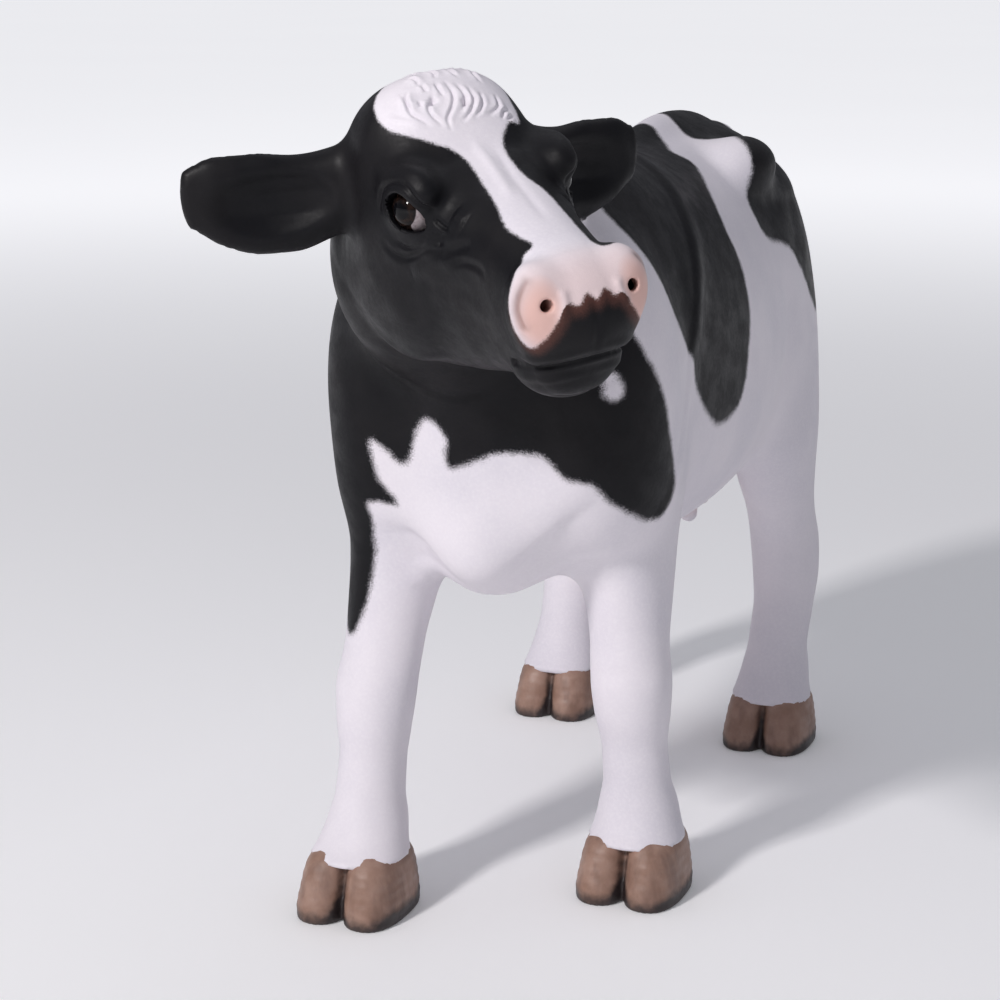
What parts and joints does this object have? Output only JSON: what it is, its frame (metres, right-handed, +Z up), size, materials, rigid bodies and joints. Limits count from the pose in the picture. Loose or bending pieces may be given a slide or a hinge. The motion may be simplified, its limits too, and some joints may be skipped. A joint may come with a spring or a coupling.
{
  "type": "toy cow figure",
  "caption": "Painted plastic figure of a standing Holstein cow with its head turned to its left and one front leg forward, standing on flat soles.",
  "frame": {"origin": "on the floor, at the middle of the figure's bounding box", "axes": "+Z up, the cow faces -Y, +X is the cow's left side"},
  "size_m": [0.0529, 0.1377, 0.0994],
  "materials": {
    "hide": "satin paint sprayed over moulded plastic, white with black patches and pink skin",
    "hoof": "satin brown paint, darker towards the sole",
    "eye": "glossy dark brown and black paint under clear varnish"
  },
  "bodies": {
    "root": {"trunk": "hide", "neck": "hide", "head": "hide", "ear_left": "hide", "ear_right": "hide", "eye_left": "eye", "eye_right": "eye", "front_leg_left": "hide", "front_leg_right": "hide", "hind_leg_left": "hide", "hind_leg_right": "hide", "front_hoof_left": "hoof", "front_hoof_right": "hoof", "hind_hoof_left": "hoof", "hind_hoof_right": "hoof", "tail": "hide", "tail_switch": "hide", "udder": "hide"}
  },
  "joints": []
}
